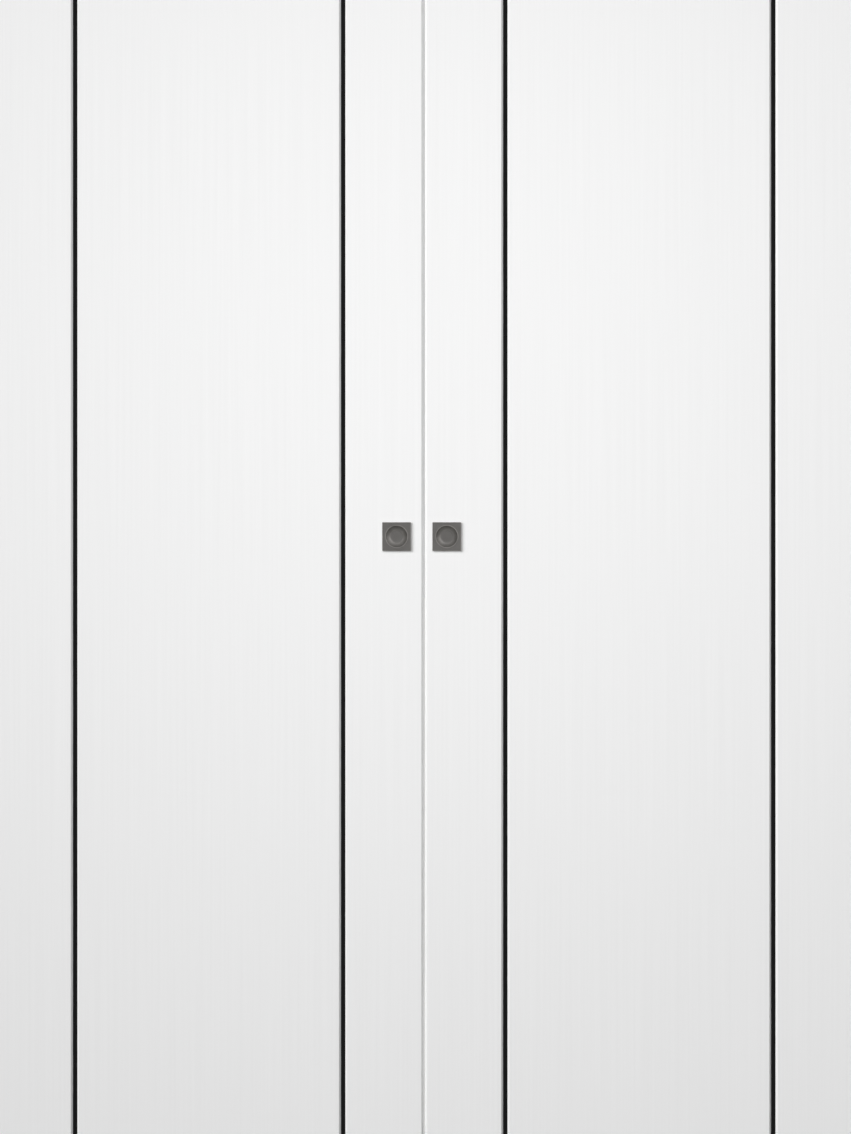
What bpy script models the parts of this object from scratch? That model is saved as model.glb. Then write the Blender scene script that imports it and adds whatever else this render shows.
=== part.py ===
"""Double sliding door: two flush leaves that hang from one track and part from the middle.

Metres, +Z up. The origin is on the floor, at the middle of the pair and in the leaves' mid-plane.
+X runs to the right along the track, and the front faces -Y.
"""

from math import atan2, cos, pi, radians, sin, tan

import bmesh
import bpy
from mathutils import Matrix

# Leaves
LEAF_WIDTH = 0.762
LEAF_HEIGHT = 2.032
LEAF_THICKNESS = 0.040
MEETING_GAP = 0.002
FLOOR_CLEARANCE = 0.010
OPEN_STRIP = 0.097  # width of leaf left in the doorway when it is open, so the pull can be reached
SEAT_GAP = 0.0003  # between pieces that touch

# Boards, frame and core of a leaf
SKIN_THICKNESS = 0.006
OUTER_STILE_WIDTH = 0.070
INNER_STILE_WIDTH = 0.110
RAIL_HEIGHT = 0.100
CORE_BORE_RADIUS = 0.0095
CORE_WEB = 0.010  # chipboard left between two bores, at least
BAND_THICKNESS = 0.0015
EDGE_CHAMFER = 0.004

# Grooves and their inlays
GROOVE_INSET = 0.143  # from each upright edge of the leaf to the groove's middle
GROOVE_CHAMFER = 0.0033
GROOVE_DEPTH = 0.0036  # from the leaf's face to the inlay's face
INLAY_WIDTH = 0.0075
INLAY_THICKNESS = 0.0012

# Pulls
PULL_SIZE = 0.051
PULL_PLATE = 0.005
PULL_CHAMFER = 0.0008
PULL_HEIGHT = 1.070  # from the leaf's bottom edge
LEFT_BACKSET = 0.048  # from the meeting edge to the middle of the left leaf's pulls
RIGHT_BACKSET = 0.039
DISH_RADIUS = 0.019
DISH_FLOOR_RADIUS = 0.0095
DISH_FILLET = 0.004  # where the dish's wall meets its floor
DISH_SLOPE = radians(38)  # of the wall, from the plate's face
CUP_WALL = 0.0016
BEAD_HEIGHT = 0.0006

# Guide channel and floor guides
CHANNEL_WIDTH = 0.011
CHANNEL_HEIGHT = 0.020
CHANNEL_WALL = 0.0015
GUIDE_PLAY = 0.0007  # on each side of the fin
GUIDE_LENGTH = 0.070
GUIDE_WIDTH = 0.038
GUIDE_BASE = 0.003
GUIDE_CORNER = 0.005
FIN_REACH = 0.016  # up into the leaf
FIN_SLOPE = 0.012
GUIDE_SCREW_RADIUS = 0.002
GUIDE_SCREW_SPACING = 0.040

# Hanger plates
PLATE_LENGTH = 0.090
PLATE_WIDTH = 0.026
PLATE_THICKNESS = 0.003
FLANGE_LENGTH = 0.024
WEB_RUN = 0.005
BEND_RADIUS = 0.002  # inside each fold of the plate
PLATE_SCREW_RADIUS = 0.0022
PLATE_SCREW_SPACING = 0.014
PILOT_RADIUS = 0.0015
PILOT_DEPTH = 0.035

# Hanging bolts
BOLT_RADIUS = 0.004
BOLT_ACROSS_FLATS = 0.013
BOLT_HEAD_HEIGHT = 0.0053
LOCK_NUT_HEIGHT = 0.0065
HEAD_CLEARANCE = 0.0032  # from the leaf's top edge to the bolt's head
BOLT_GRIP = 0.0125  # thread inside the carriage
BOLT_CHAMFER = 0.0008
HANGER_INSET = 0.062  # from each upright edge of the leaf to the bolt

# Carriages and wheels
CARRIAGE_LENGTH = 0.064
CARRIAGE_WIDTH = 0.012
CARRIAGE_HEIGHT = 0.0175
CARRIAGE_CHAMFER = 0.003
CARRIAGE_CLEARANCE = 0.0025  # above the running surface
AXLE_SPACING = 0.040
AXLE_RADIUS = 0.0025
AXLE_END = 0.0008
WHEEL_RADIUS = 0.011
WHEEL_WIDTH = 0.007
WHEEL_SIDE_GAP = 0.0008
WHEEL_CHAMFER = 0.0007
WHEEL_RIM = 0.0025
WHEEL_DISH = 0.001

# Track
TRACK_WALL = 0.0025
TRACK_LIP = 0.003
TRACK_WEB = 0.003
TRACK_SIDE_GAP = 0.0009  # from an axle's end to the wall
TRACK_HEADROOM = 0.0057  # above the wheels
TRACK_CLEARANCE = 0.0054  # above the lock nuts
TRACK_TAIL = 0.018  # past the end stops
TRACK_CHAMFER = 0.001
SLOT_CLEARANCE = 0.0015  # on each side of a bolt
TRACK_SCREW_RADIUS = 0.0025
TRACK_SCREW_PITCH = 0.360

# Stops and buffers
STOP_GAP = 0.0005  # from a stop to the carriage that runs against it
STOP_LENGTH = 0.023
STOP_HEIGHT = 0.021
STOP_CHAMFER = 0.001
STOP_SOCKET_RADIUS = 0.003
STOP_SOCKET_DEPTH = 0.012
BUFFER_RADIUS = 0.007
BUFFER_LENGTH = 0.008
BUFFER_CHAMFER = 0.0015
STEM_RADIUS = 0.003
STEM_LENGTH = 0.008

# Facets and helpers
CUT_MARGIN = 0.002  # how far a cutter runs past the face that it opens
WELD = 0.00001
SMOOTH_ANGLE = radians(40)  # turned faces that meet at less than this are shaded as one
HOLE_SIDES = 10
AXLE_SIDES = 16
BOLT_SIDES = 12
HEX_SIDES = 6
WHEEL_SIDES = 16
DISH_SIDES = 32
DISH_STEPS = 3
CORE_BORE_SIDES = 8
SLOT_STEPS = 6
BEND_STEPS = 2

# Rotations that lay a shape's own Z along a direction
ALONG_Z = (0, 0, 0)
ALONG_X = (pi / 2, 0, pi / 2)
AGAINST_X = (pi / 2, 0, -pi / 2)
ALONG_Y = (-pi / 2, 0, 0)
AGAINST_Y = (pi / 2, 0, 0)

# Heights worked out from the stack of pieces, measured from the leaf's top edge
BRIDGE_UNDERSIDE = HEAD_CLEARANCE + BOLT_HEAD_HEIGHT + SEAT_GAP
BRIDGE_TOP = BRIDGE_UNDERSIDE + PLATE_THICKNESS
NUT_BASE = BRIDGE_TOP + SEAT_GAP
TRACK_BASE = NUT_BASE + LOCK_NUT_HEIGHT + TRACK_CLEARANCE
RUNNING_LEVEL = TRACK_BASE + TRACK_LIP
AXLE_LEVEL = RUNNING_LEVEL + SEAT_GAP + WHEEL_RADIUS
CARRIAGE_BASE = RUNNING_LEVEL + CARRIAGE_CLEARANCE
TRACK_CEILING = AXLE_LEVEL + WHEEL_RADIUS + TRACK_HEADROOM
TRACK_TOP = TRACK_CEILING + TRACK_WEB
LEAF_TOP = FLOOR_CLEARANCE + LEAF_HEIGHT

# Depths and widths worked out for a leaf
HALF_LEAF = LEAF_THICKNESS / 2
BOARD_INSET = BAND_THICKNESS + SEAT_GAP
FRAME_THICKNESS = LEAF_THICKNESS - 2 * (SKIN_THICKNESS + SEAT_GAP)
CUP_RADIUS = DISH_RADIUS + CUP_WALL
PULL_FRONT = SEAT_GAP + PULL_PLATE
DISH_WALL_RUN = DISH_RADIUS - DISH_FLOOR_RADIUS - DISH_FILLET * sin(DISH_SLOPE)
DISH_DEPTH = DISH_FILLET * (1 - cos(DISH_SLOPE)) + DISH_WALL_RUN * tan(DISH_SLOPE)
DISH_FLOOR = PULL_FRONT - DISH_DEPTH
CUP_BACK = DISH_FLOOR - CUP_WALL
CHANNEL_SLOT_WIDTH = CHANNEL_WIDTH + 2 * SEAT_GAP
CHANNEL_SLOT_HEIGHT = CHANNEL_HEIGHT + SEAT_GAP

# Distances from the middle of the pair
LEAF_EDGE = MEETING_GAP / 2
LEAF_TRAVEL = LEAF_WIDTH - OPEN_STRIP
GUIDE_PLACE = LEAF_EDGE + (LEAF_WIDTH + LEAF_TRAVEL) / 2
CENTRE_STOP_HALF = LEAF_EDGE + HANGER_INSET - CARRIAGE_LENGTH / 2 - STOP_GAP
OPEN_CARRIAGE_END = LEAF_EDGE + LEAF_WIDTH + LEAF_TRAVEL - HANGER_INSET + CARRIAGE_LENGTH / 2
STOP_FACE = OPEN_CARRIAGE_END + STOP_GAP + BUFFER_LENGTH + SEAT_GAP
TRACK_HALF = STOP_FACE + STOP_LENGTH + TRACK_TAIL

# Half widths across the track
SLOT_HALF = BOLT_RADIUS + SLOT_CLEARANCE
WHEEL_INNER = CARRIAGE_WIDTH / 2 + WHEEL_SIDE_GAP
WHEEL_OUTER = WHEEL_INNER + WHEEL_WIDTH
AXLE_HALF = WHEEL_OUTER + AXLE_END
TRACK_INNER = AXLE_HALF + TRACK_SIDE_GAP
TRACK_OUTER = TRACK_INNER + TRACK_WALL

for old in list(bpy.data.objects):
    bpy.data.objects.remove(old)
PARTS = bpy.data.collections.new("double_sliding_door")
CUTTERS = bpy.data.collections.new("cutters")
for group in (PARTS, CUTTERS):
    bpy.context.scene.collection.children.link(group)


def finish(name, colour, roughness, metallic=0.0):
    made = bpy.data.materials.new(name)
    made.use_nodes = True
    shader = made.node_tree.nodes["Principled BSDF"]
    shader.inputs["Base Color"].default_value = (*colour, 1.0)
    shader.inputs["Roughness"].default_value = roughness
    shader.inputs["Metallic"].default_value = metallic
    made.diffuse_color = (*colour, 1.0)
    return made


WHITE_LACQUER = finish("white_lacquer", (0.88, 0.88, 0.88), 0.35)
BLACK_STRIP = finish("black_strip", (0.010, 0.010, 0.010), 0.5)
GUNMETAL = finish("gunmetal", (0.13, 0.125, 0.12), 0.4, 0.9)
PINE = finish("pine", (0.62, 0.43, 0.24), 0.6)
CHIPBOARD = finish("chipboard", (0.50, 0.36, 0.21), 0.8)
ALUMINIUM = finish("aluminium", (0.75, 0.76, 0.77), 0.35, 1.0)
ZINC_STEEL = finish("zinc_steel", (0.62, 0.63, 0.65), 0.35, 1.0)
DIE_CAST_ZINC = finish("die_cast_zinc", (0.42, 0.43, 0.45), 0.5, 1.0)
WHITE_NYLON = finish("white_nylon", (0.80, 0.79, 0.75), 0.45)
BLACK_RUBBER = finish("black_rubber", (0.02, 0.02, 0.02), 0.8)


def joint_frame(name, place, parent=None):
    """An empty that carries the pieces of one moving group."""
    made = bpy.data.objects.new(name, None)
    PARTS.objects.link(made)
    made.parent = parent
    made.location = place
    return made


def part(name, mesh, material, parent=None, place=(0, 0, 0), turn=ALONG_Z):
    made = bpy.data.objects.new(name, mesh)
    PARTS.objects.link(made)
    mesh.materials.append(material)
    made.parent = parent
    made.location = place
    made.rotation_euler = turn
    return made


def tool(name, mesh, parent=None, place=(0, 0, 0), turn=ALONG_Z):
    """A helper solid for a Boolean, left out of the model itself."""
    made = bpy.data.objects.new(name, mesh)
    CUTTERS.objects.link(made)
    made.hide_render = True
    made.display_type = "WIRE"
    made.parent = parent
    made.location = place
    made.rotation_euler = turn
    return made


def combine(target, other, operation="DIFFERENCE"):
    change = target.modifiers.new(other.name, "BOOLEAN")
    change.operation = operation
    change.object = other


def mesh_from(name, bm):
    mesh = bpy.data.meshes.new(name)
    bm.to_mesh(mesh)
    bm.free()
    return mesh


def block(name, size):
    bm = bmesh.new()
    bmesh.ops.create_cube(bm, size=1.0, matrix=Matrix.Diagonal((*size, 1.0)))
    return mesh_from(name, bm)


def settled(drawn):
    """The finished shape of a drawn line or outline as one welded mesh; the drawing is removed."""
    graph = bpy.context.evaluated_depsgraph_get()
    mesh = bpy.data.meshes.new_from_object(drawn.evaluated_get(graph))
    bpy.data.objects.remove(drawn)
    bm = bmesh.new()
    bm.from_mesh(mesh)
    bmesh.ops.remove_doubles(bm, verts=bm.verts, dist=WELD)
    bmesh.ops.recalc_face_normals(bm, faces=bm.faces)
    bm.to_mesh(mesh)
    bm.free()
    return mesh


def prism(name, outlines, length):
    """Closed outlines, the first with the others as holes, filled and extruded both ways along Z."""
    curve = bpy.data.curves.new(name, "CURVE")
    curve.dimensions = "2D"
    curve.fill_mode = "BOTH"
    curve.extrude = length / 2
    for outline in outlines:
        spline = curve.splines.new("POLY")
        spline.points.add(len(outline) - 1)
        spline.use_cyclic_u = True
        for point, (across, up) in zip(spline.points, outline):
            point.co = (across, up, 0, 1)
    drawn = bpy.data.objects.new(name, curve)
    CUTTERS.objects.link(drawn)
    mesh = settled(drawn)
    mesh.shade_flat()
    return mesh


def turned(name, points, sides):
    """A line of points (radius, height), from the top down, turned round Z into a closed shape."""
    bm = bmesh.new()
    corners = [bm.verts.new((radius, 0, height)) for radius, height in points]
    for first, second in zip(corners, corners[1:]):
        bm.edges.new((first, second))
    drawn = bpy.data.objects.new(name, mesh_from(name, bm))
    CUTTERS.objects.link(drawn)
    lathe = drawn.modifiers.new("lathe", "SCREW")
    lathe.steps = sides
    lathe.render_steps = sides
    lathe.use_merge_vertices = True
    lathe.merge_threshold = WELD
    mesh = settled(drawn)
    mesh.shade_smooth()
    mesh.set_sharp_from_angle(angle=SMOOTH_ANGLE)
    return mesh


def drill(target, hole, place, turn=ALONG_Z):
    """Cuts a hole of that shape, in the frame of the target's own parent."""
    name = f"{target.name}_hole_{len(target.modifiers)}"
    combine(target, tool(name, hole, target.parent, place, turn))


def straight_hole(radius, top, bottom):
    return [(0, top), (radius, top), (radius, bottom), (0, bottom)]


def countersunk_hole(radius, face, depth):
    """A screw hole down from a face, with a 90 degree seat for a head of twice its width."""
    top = face + CUT_MARGIN
    bottom = face - depth - CUT_MARGIN
    return [(0, top), (2 * radius + CUT_MARGIN, top), (radius, face - radius), (radius, bottom), (0, bottom)]


def chamfer_edges(made, width):
    bevel = made.modifiers.new("chamfer", "BEVEL")
    bevel.width = width
    bevel.segments = 1
    bevel.limit_method = "ANGLE"


def chamfered_rectangle(width, height, corner):
    """A rectangle round the origin with its corners cut off."""
    outline = []
    for x_sign, y_sign in ((1, -1), (1, 1), (-1, 1), (-1, -1)):
        cut_upright = (x_sign * width / 2, y_sign * (height / 2 - corner))
        cut_level = (x_sign * (width / 2 - corner), y_sign * height / 2)
        first_is_level = x_sign * y_sign < 0
        outline += [cut_level, cut_upright] if first_is_level else [cut_upright, cut_level]
    return outline


def circle(centre, radius, sides):
    return [
        (centre[0] + radius * cos(2 * pi * i / sides), centre[1] + radius * sin(2 * pi * i / sides))
        for i in range(sides)
    ]


def skin_outline():
    """Plan of a skin as (distance from the meeting edge, depth below the leaf's face)."""
    return [
        (BOARD_INSET, SKIN_THICKNESS),
        (BOARD_INSET, EDGE_CHAMFER - BOARD_INSET),
        (EDGE_CHAMFER, 0),
        (LEAF_WIDTH - EDGE_CHAMFER, 0),
        (LEAF_WIDTH - BOARD_INSET, EDGE_CHAMFER - BOARD_INSET),
        (LEAF_WIDTH - BOARD_INSET, SKIN_THICKNESS),
    ]


def groove_outline():
    """Section of a groove's cutter as (distance from its middle, depth below the leaf's face)."""
    slot_half = INLAY_WIDTH / 2 + SEAT_GAP
    slot_depth = GROOVE_DEPTH + INLAY_THICKNESS + SEAT_GAP
    mouth_half = slot_half + GROOVE_CHAMFER * (1 + CUT_MARGIN / GROOVE_DEPTH)
    half = [(slot_half, slot_depth), (slot_half, GROOVE_DEPTH), (mouth_half, -CUT_MARGIN)]
    return half + [(-across, depth) for across, depth in half[::-1]]


def skin(name, leaf, side, face):
    """A lacquered board, chamfered with the edge bands and grooved for the inlays."""
    outline = [(side * along, face * (HALF_LEAF - depth)) for along, depth in skin_outline()]
    middle_height = LEAF_HEIGHT / 2
    board = part(name, prism(name, [outline], LEAF_HEIGHT), WHITE_LACQUER, leaf, (0, 0, middle_height))
    section = [(across, face * (HALF_LEAF - depth)) for across, depth in groove_outline()]
    groove = prism(f"{name}_groove", [section], LEAF_HEIGHT + 2 * CUT_MARGIN)
    for middle in (GROOVE_INSET, LEAF_WIDTH - GROOVE_INSET):
        drill(board, groove, (side * middle, 0, middle_height))
    return board


def inlay(name, leaf, side, face, middle):
    """A black strip laid in a groove, its face at the foot of the groove's chamfers."""
    depth = GROOVE_DEPTH + INLAY_THICKNESS / 2
    place = (side * middle, face * (HALF_LEAF - depth), LEAF_HEIGHT / 2)
    part(name, block(name, (INLAY_WIDTH, INLAY_THICKNESS, LEAF_HEIGHT)), BLACK_STRIP, leaf, place)


def edge_band(name, leaf, side, edge, inward):
    """The lipping of one upright edge, notched at the bottom for the guide channel."""
    half_outside = HALF_LEAF - EDGE_CHAMFER
    half_inside = half_outside + BAND_THICKNESS
    inside = edge + inward * BAND_THICKNESS
    outline = [
        (side * edge, -half_outside),
        (side * inside, -half_inside),
        (side * inside, half_inside),
        (side * edge, half_outside),
    ]
    mesh = prism(name, [outline], LEAF_HEIGHT)
    band = part(name, mesh, WHITE_LACQUER, leaf, (0, 0, LEAF_HEIGHT / 2))
    notch_length = 2 * (BAND_THICKNESS + CUT_MARGIN)
    notch_height = CHANNEL_SLOT_HEIGHT + CUT_MARGIN
    size = (notch_length, CHANNEL_SLOT_WIDTH, notch_height)
    place = (side * edge, 0, CHANNEL_SLOT_HEIGHT - notch_height / 2)
    combine(band, tool(f"{name}_notch", block(f"{name}_notch", size), leaf, place))


def stile(name, leaf, side, start, width):
    """An upright of the leaf's frame, between the rails."""
    height = LEAF_HEIGHT - 2 * (RAIL_HEIGHT + SEAT_GAP)
    place = (side * (start + width / 2), 0, LEAF_HEIGHT / 2)
    part(name, block(name, (width, FRAME_THICKNESS, height)), PINE, leaf, place)


def plate_screws():
    """Where a hanger plate's screws stand, from the bolt's axis."""
    along = PLATE_LENGTH / 2 - FLANGE_LENGTH / 2
    across = PLATE_SCREW_SPACING / 2
    return [(x, y) for x in (-along, along) for y in (-across, across)]


def top_rail(name, leaf, side, hangers):
    """The rail that carries the leaf's weight, with a pilot hole for each plate screw."""
    length = LEAF_WIDTH - 2 * BOARD_INSET
    place = (side * LEAF_WIDTH / 2, 0, LEAF_HEIGHT - RAIL_HEIGHT / 2)
    rail = part(name, block(name, (length, FRAME_THICKNESS, RAIL_HEIGHT)), PINE, leaf, place)
    pilot = turned(f"{name}_pilot", straight_hole(PILOT_RADIUS, CUT_MARGIN, -PILOT_DEPTH), HOLE_SIDES)
    for hanger in hangers:
        for x, y in plate_screws():
            drill(rail, pilot, (side * hanger + x, y, LEAF_HEIGHT))


def bottom_rail(name, leaf, side):
    """The rail under the core, ploughed along its whole length for the guide channel."""
    half = FRAME_THICKNESS / 2
    slot = CHANNEL_SLOT_WIDTH / 2
    outline = [
        (-half, 0),
        (-slot, 0),
        (-slot, CHANNEL_SLOT_HEIGHT),
        (slot, CHANNEL_SLOT_HEIGHT),
        (slot, 0),
        (half, 0),
        (half, RAIL_HEIGHT),
        (-half, RAIL_HEIGHT),
    ]
    mesh = prism(name, [outline], LEAF_WIDTH - 2 * BOARD_INSET)
    part(name, mesh, PINE, leaf, (side * LEAF_WIDTH / 2, 0, 0), ALONG_X)


def guide_channel(name, leaf, side):
    """An aluminium channel, open downwards, that runs over the floor guide's fin."""
    half = CHANNEL_WIDTH / 2
    inner = half - CHANNEL_WALL
    outline = [
        (-half, 0),
        (-inner, 0),
        (-inner, CHANNEL_HEIGHT - CHANNEL_WALL),
        (inner, CHANNEL_HEIGHT - CHANNEL_WALL),
        (inner, 0),
        (half, 0),
        (half, CHANNEL_HEIGHT),
        (-half, CHANNEL_HEIGHT),
    ]
    mesh = prism(name, [outline], LEAF_WIDTH)
    part(name, mesh, ALUMINIUM, leaf, (side * LEAF_WIDTH / 2, 0, 0), ALONG_X)


def core(name, leaf, side):
    """A chipboard slab, lightened by upright bores."""
    start = BOARD_INSET + INNER_STILE_WIDTH + SEAT_GAP
    end = LEAF_WIDTH - BOARD_INSET - OUTER_STILE_WIDTH - SEAT_GAP
    width = end - start
    count = int((width - CORE_WEB) // (2 * CORE_BORE_RADIUS + CORE_WEB))
    pitch = width / count
    outlines = [chamfered_rectangle(width, FRAME_THICKNESS, SEAT_GAP)]
    for i in range(count):
        outlines.append(circle((pitch * (i + 0.5) - width / 2, 0), CORE_BORE_RADIUS, CORE_BORE_SIDES))
    mesh = prism(name, outlines, LEAF_HEIGHT - 2 * (RAIL_HEIGHT + SEAT_GAP))
    part(name, mesh, CHIPBOARD, leaf, (side * (start + end) / 2, 0, LEAF_HEIGHT / 2))


def dish_profile():
    """The cup as (radius, height above the leaf): out across the dish, over the rim, round the back."""
    points = [(0, DISH_FLOOR)]
    for step in range(DISH_STEPS + 1):
        angle = DISH_SLOPE * step / DISH_STEPS
        radius = DISH_FLOOR_RADIUS + DISH_FILLET * sin(angle)
        points.append((radius, DISH_FLOOR + DISH_FILLET * (1 - cos(angle))))
    points += [
        (DISH_RADIUS, PULL_FRONT),
        (DISH_RADIUS + CUP_WALL / 2, PULL_FRONT + BEAD_HEIGHT),
        (CUP_RADIUS, PULL_FRONT - BEAD_HEIGHT),
        (CUP_RADIUS, CUP_BACK),
        (0, CUP_BACK),
    ]
    return points


def pull(name, leaf, place, outward, skin_board):
    """A cast pull: a square plate on the leaf's face and a round finger dish let into the skin."""
    plate = part(name, block(name, (PULL_SIZE, PULL_SIZE, PULL_PLATE)), GUNMETAL, leaf, place, outward)
    plate.data.transform(Matrix.Translation((0, 0, SEAT_GAP + PULL_PLATE / 2)))
    chamfer_edges(plate, PULL_CHAMFER)
    opening = straight_hole(DISH_RADIUS + CUP_WALL / 2, PULL_FRONT + CUT_MARGIN, -CUT_MARGIN)
    drill(plate, turned(f"{name}_opening", opening, DISH_SIDES), place, outward)
    cup = turned(f"{name}_cup", dish_profile(), DISH_SIDES)
    combine(plate, tool(f"{name}_cup", cup, leaf, place, outward), "UNION")
    seat_outline = straight_hole(CUP_RADIUS + SEAT_GAP, CUT_MARGIN, CUP_BACK - SEAT_GAP)
    seat = turned(f"{name}_seat", seat_outline, DISH_SIDES)
    drill(skin_board, seat, place, outward)


def bend(x, z, radius, slope, rise):
    """Points round a fold at corner (x, z): rise 1 bends up from the right, and -1 down from the left."""
    reach = radius * tan(slope / 2)
    points = []
    for step in range(BEND_STEPS + 1):
        angle = slope * step / BEND_STEPS
        points.append((x + rise * (reach - radius * sin(angle)), z + rise * radius * (1 - cos(angle))))
    return points[::rise]


def hanger_plate(name, hanger):
    """A folded steel plate: two screw flanges and a bridge slotted from the front for the bolt."""
    half = PLATE_LENGTH / 2
    foot = half - FLANGE_LENGTH
    crown = foot - WEB_RUN
    slope = atan2(BRIDGE_UNDERSIDE - SEAT_GAP, WEB_RUN)
    fold = PLATE_THICKNESS * tan(slope / 2)
    outside = BEND_RADIUS + PLATE_THICKNESS
    under = [(half, SEAT_GAP)]
    under += bend(foot, SEAT_GAP, outside, slope, 1)
    under += bend(crown, BRIDGE_UNDERSIDE, BEND_RADIUS, slope, -1)
    over = [(half, SEAT_GAP + PLATE_THICKNESS)]
    over += bend(foot + fold, SEAT_GAP + PLATE_THICKNESS, BEND_RADIUS, slope, 1)
    over += bend(crown + fold, BRIDGE_TOP, outside, slope, -1)
    right = under[::-1] + over
    left = [(-x, z) for x, z in right[::-1]]
    plate = part(name, prism(name, [right + left], PLATE_WIDTH), ZINC_STEEL, hanger, turn=AGAINST_Y)
    width = BOLT_RADIUS + SEAT_GAP
    front = -(PLATE_WIDTH / 2 + CUT_MARGIN)
    slot = [(-width, front), (width, front)]
    for step in range(SLOT_STEPS + 1):
        angle = pi * step / SLOT_STEPS
        slot.append((width * cos(angle), width * sin(angle)))
    slot_mesh = prism(f"{name}_slot", [slot], PLATE_THICKNESS + 2 * CUT_MARGIN)
    slot_place = (0, 0, BRIDGE_UNDERSIDE + PLATE_THICKNESS / 2)
    combine(plate, tool(f"{name}_slot", slot_mesh, hanger, slot_place))
    seat = countersunk_hole(PLATE_SCREW_RADIUS, SEAT_GAP + PLATE_THICKNESS, PLATE_THICKNESS)
    hole = turned(f"{name}_screw_hole", seat, HOLE_SIDES)
    for x, y in plate_screws():
        drill(plate, hole, (x, y, 0))


def hanging_bolt(name, hanger):
    """A hexagon bolt, head down under the bridge, with its lock nut run down on the bridge."""
    top = CARRIAGE_BASE + BOLT_GRIP
    bottom = HEAD_CLEARANCE + BOLT_HEAD_HEIGHT / 2
    shank = [
        (0, top),
        (BOLT_RADIUS - BOLT_CHAMFER, top),
        (BOLT_RADIUS, top - BOLT_CHAMFER),
        (BOLT_RADIUS, bottom),
        (0, bottom),
    ]
    bolt = part(name, turned(name, shank, BOLT_SIDES), ZINC_STEEL, hanger)
    hexagon = circle((0, 0), BOLT_ACROSS_FLATS / 2 / cos(pi / HEX_SIDES), HEX_SIDES)
    for piece, base, height in (
        ("head", HEAD_CLEARANCE, BOLT_HEAD_HEIGHT),
        ("nut", NUT_BASE, LOCK_NUT_HEIGHT),
    ):
        mesh = prism(f"{name}_{piece}", [hexagon], height)
        combine(bolt, tool(f"{name}_{piece}", mesh, hanger, (0, 0, base + height / 2)), "UNION")


def carriage(name, hanger):
    """A die-cast body, bored across for the axles and tapped from below for the bolt."""
    outline = chamfered_rectangle(CARRIAGE_LENGTH, CARRIAGE_HEIGHT, CARRIAGE_CHAMFER)
    place = (0, 0, CARRIAGE_BASE + CARRIAGE_HEIGHT / 2)
    mesh = prism(name, [outline], CARRIAGE_WIDTH)
    body = part(name, mesh, DIE_CAST_ZINC, hanger, place, AGAINST_Y)
    reach = CARRIAGE_WIDTH / 2 + CUT_MARGIN
    axle_bore = turned(f"{name}_bore", straight_hole(AXLE_RADIUS + SEAT_GAP, reach, -reach), AXLE_SIDES)
    for x in (-AXLE_SPACING / 2, AXLE_SPACING / 2):
        drill(body, axle_bore, (x, 0, AXLE_LEVEL), AGAINST_Y)
    thread = straight_hole(BOLT_RADIUS + SEAT_GAP, BOLT_GRIP + SEAT_GAP, -CUT_MARGIN)
    drill(body, turned(f"{name}_thread", thread, BOLT_SIDES), (0, 0, CARRIAGE_BASE))


def wheelset(name, hanger, along):
    """A steel axle with a nylon wheel on each end, turned as one piece about the axle."""
    one_end = [
        (0, AXLE_HALF),
        (AXLE_RADIUS, AXLE_HALF),
        (AXLE_RADIUS, WHEEL_OUTER - WHEEL_DISH),
        (WHEEL_RADIUS - WHEEL_RIM, WHEEL_OUTER - WHEEL_DISH),
        (WHEEL_RADIUS - WHEEL_RIM, WHEEL_OUTER),
        (WHEEL_RADIUS - WHEEL_CHAMFER, WHEEL_OUTER),
        (WHEEL_RADIUS, WHEEL_OUTER - WHEEL_CHAMFER),
        (WHEEL_RADIUS, WHEEL_INNER + WHEEL_CHAMFER),
        (WHEEL_RADIUS - WHEEL_CHAMFER, WHEEL_INNER),
        (AXLE_RADIUS, WHEEL_INNER),
    ]
    other_end = [(radius, -height) for radius, height in one_end[::-1]]
    mesh = turned(name, one_end + other_end, WHEEL_SIDES)
    part(name, mesh, WHITE_NYLON, hanger, (along, 0, AXLE_LEVEL), AGAINST_Y)


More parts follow.
